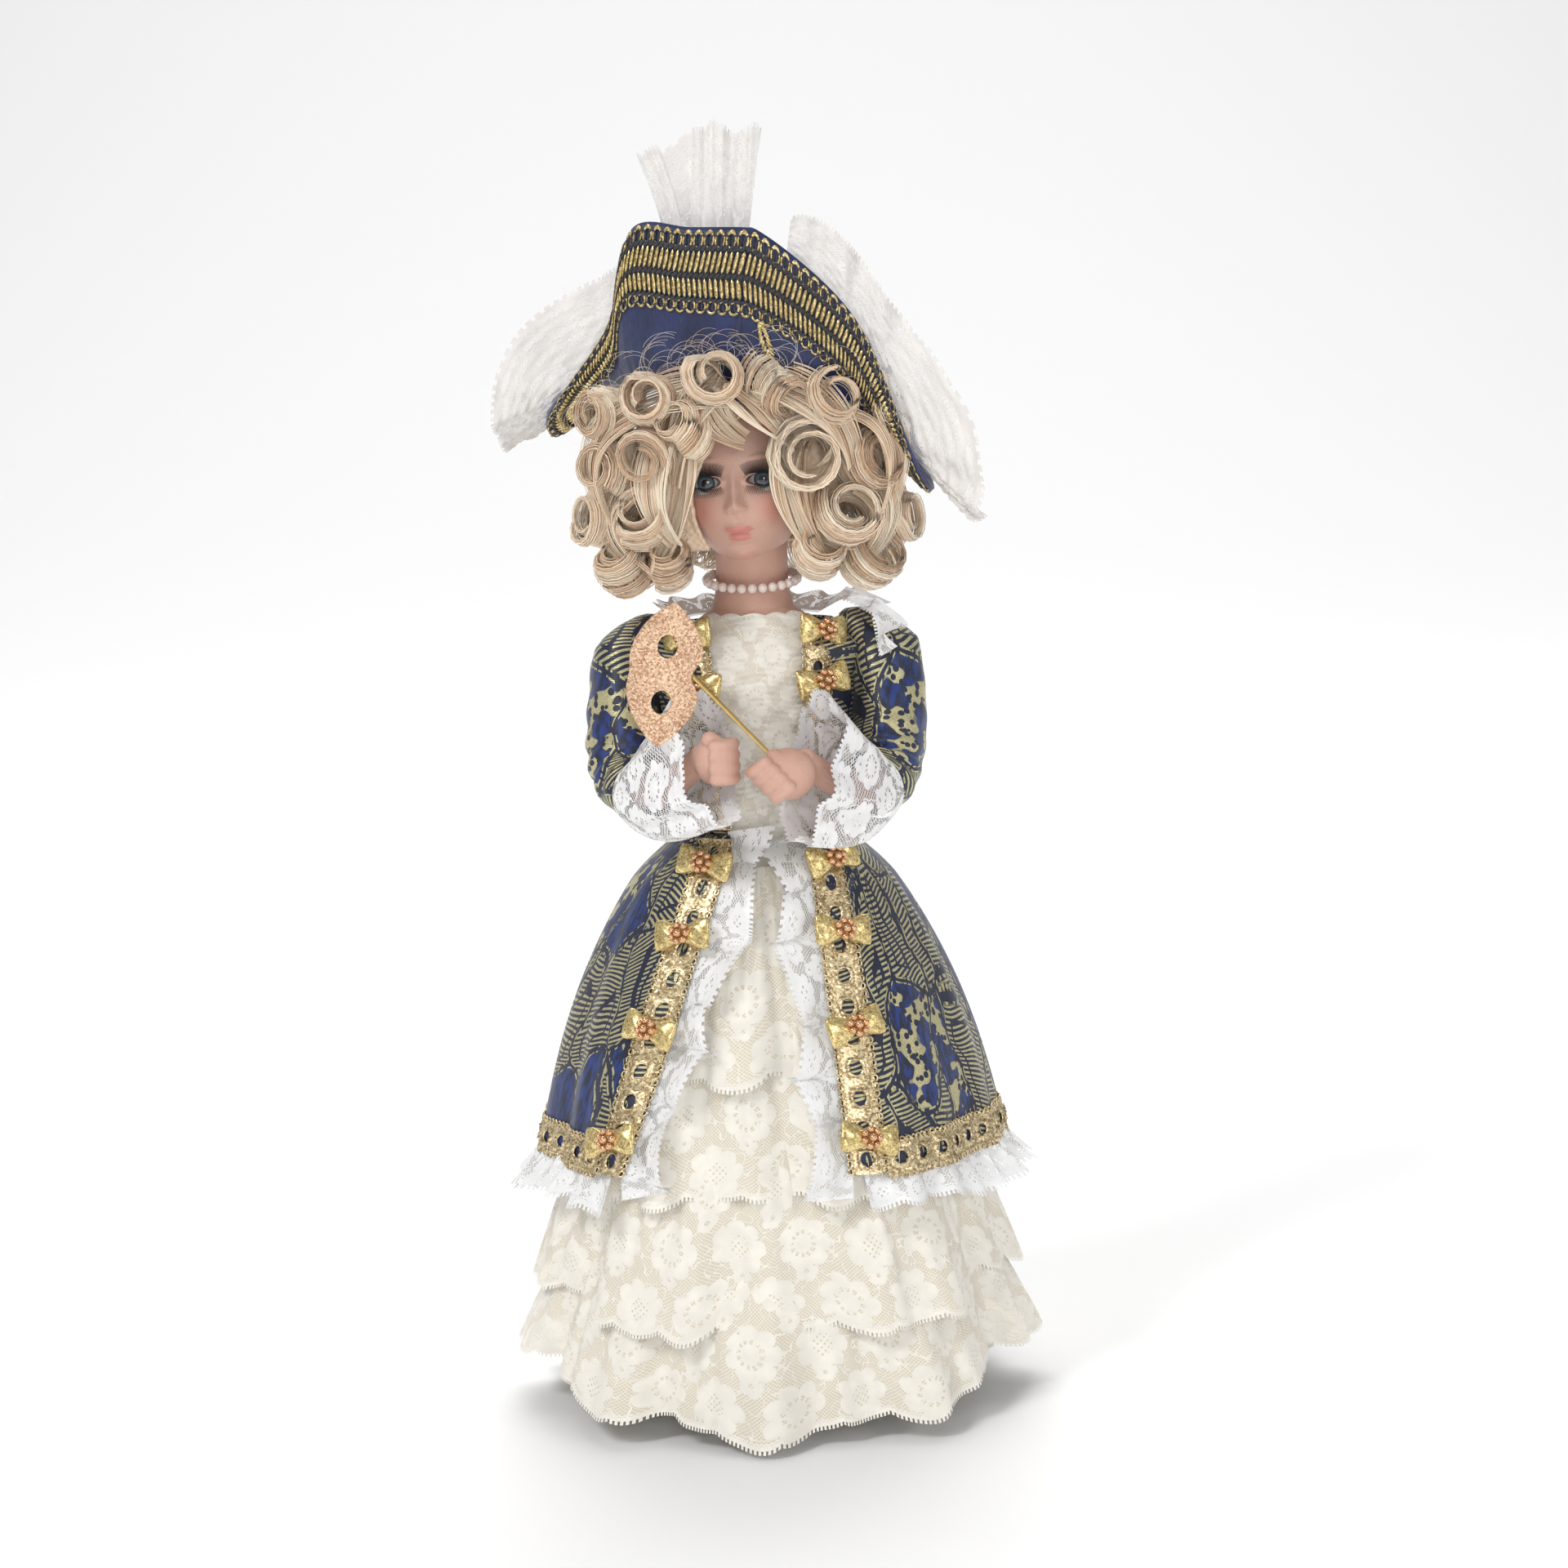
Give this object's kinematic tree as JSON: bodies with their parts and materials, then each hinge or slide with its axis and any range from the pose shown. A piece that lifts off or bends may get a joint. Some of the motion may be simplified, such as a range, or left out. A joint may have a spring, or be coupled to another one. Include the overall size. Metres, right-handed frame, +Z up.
{
  "type": "porcelain doll",
  "caption": "Collectible bisque doll in court dress: brocade coat over lace tiers, three-cornered hat, curled wig, and a glitter mask on a stick.",
  "frame": {"origin": "on the floor under the middle of the skirt's hem", "axes": "+Z up, the doll faces -Y, +X is the doll's left side"},
  "size_m": [0.1614, 0.14, 0.3848],
  "materials": {
    "bisque": "matte",
    "doll_eye": "gloss",
    "muslin": "matte",
    "crown_card": "matte",
    "steel_wire": "satin",
    "blonde_hair": "satin",
    "navy_satin": "satin",
    "gold_braid": "satin",
    "white_lace": "matte",
    "ivory_lace": "matte",
    "ivory_satin": "satin",
    "brocade": "matte",
    "pearl": "gloss",
    "gold_stick": "satin",
    "gold_glitter": "satin",
    "gold_ribbon": "satin"
  },
  "bodies": {
    "figure": {"bisque_head_and_shoulder_plate": "bisque", "eye_left": "doll_eye", "eye_right": "doll_eye", "cloth_torso": "muslin", "crown_disc": "crown_card", "curled_wig": "blonde_hair", "hat_brim": "navy_satin", "hat_crown": "navy_satin", "hat_gold_braid": "gold_braid", "lapel_trim_left": "gold_braid", "lapel_trim_right": "gold_braid", "coat_front_trim_left": "gold_braid", "coat_front_trim_right": "gold_braid", "coat_hem_trim": "gold_braid", "hat_lace_left": "white_lace", "hat_lace_right": "white_lace", "hat_lace_plume": "white_lace", "collar_lace": "white_lace", "coat_front_lace_left": "white_lace", "coat_front_lace_right": "white_lace", "coat_hem_lace": "white_lace", "lace_bib": "ivory_lace", "lace_tier_bottom": "ivory_lace", "lace_tier_second": "ivory_lace", "lace_tier_third": "ivory_lace", "lace_tier_top": "ivory_lace", "satin_underskirt": "ivory_satin", "coat_bodice": "brocade", "coat_skirt": "brocade", "pearl_necklace": "pearl", "bow_left_1": "gold_ribbon", "bow_left_2": "gold_ribbon", "bow_left_3": "gold_ribbon", "bow_left_4": "gold_ribbon", "bow_left_5": "gold_ribbon", "bow_left_6": "gold_ribbon", "bow_right_1": "gold_ribbon", "bow_right_2": "gold_ribbon", "bow_right_3": "gold_ribbon", "bow_right_4": "gold_ribbon", "bow_right_5": "gold_ribbon", "bow_right_6": "gold_ribbon"},
    "left_arm": {"cloth_upper_arm_left": "muslin", "arm_wire_left": "steel_wire", "bisque_forearm_left": "bisque", "coat_sleeve_left": "brocade", "lace_cuff_left": "white_lace"},
    "right_arm": {"cloth_upper_arm_right": "muslin", "arm_wire_right": "steel_wire", "bisque_forearm_right": "bisque", "coat_sleeve_right": "brocade", "lace_cuff_right": "white_lace"},
    "mask": {"mask_stick": "gold_stick", "glitter_mask": "gold_glitter"},
    "left_leg": {"cloth_thigh_left": "muslin", "bisque_leg_left": "bisque", "pantaloon_left": "white_lace"},
    "right_leg": {"cloth_thigh_right": "muslin", "bisque_leg_right": "bisque", "pantaloon_right": "white_lace"}
  },
  "joints": [
    {"name": "left_shoulder", "type": "hinge", "parent": "figure", "child": "left_arm", "pos_m": [0.0393, 0, 0.229], "axis": [0, 0, 1], "range_deg": [0, 35]},
    {"name": "right_shoulder", "type": "hinge", "parent": "figure", "child": "right_arm", "pos_m": [-0.0393, 0, 0.229], "axis": [0, 1, 0], "range_deg": [0, 20]},
    {"name": "mask_turn", "type": "hinge", "parent": "left_arm", "child": "mask", "pos_m": [0.006, -0.0482, 0.2], "axis": [-0.6767, 0.1178, 0.7268], "range_deg": [-10, 10]},
    {"name": "hip_left", "type": "hinge", "parent": "figure", "child": "left_leg", "pos_m": [0.014, 0, 0.16], "axis": [1, 0, 0], "range_deg": [-12, 12]},
    {"name": "hip_right", "type": "hinge", "parent": "figure", "child": "right_leg", "pos_m": [-0.014, 0, 0.16], "axis": [1, 0, 0], "range_deg": [-12, 12]}
  ]
}
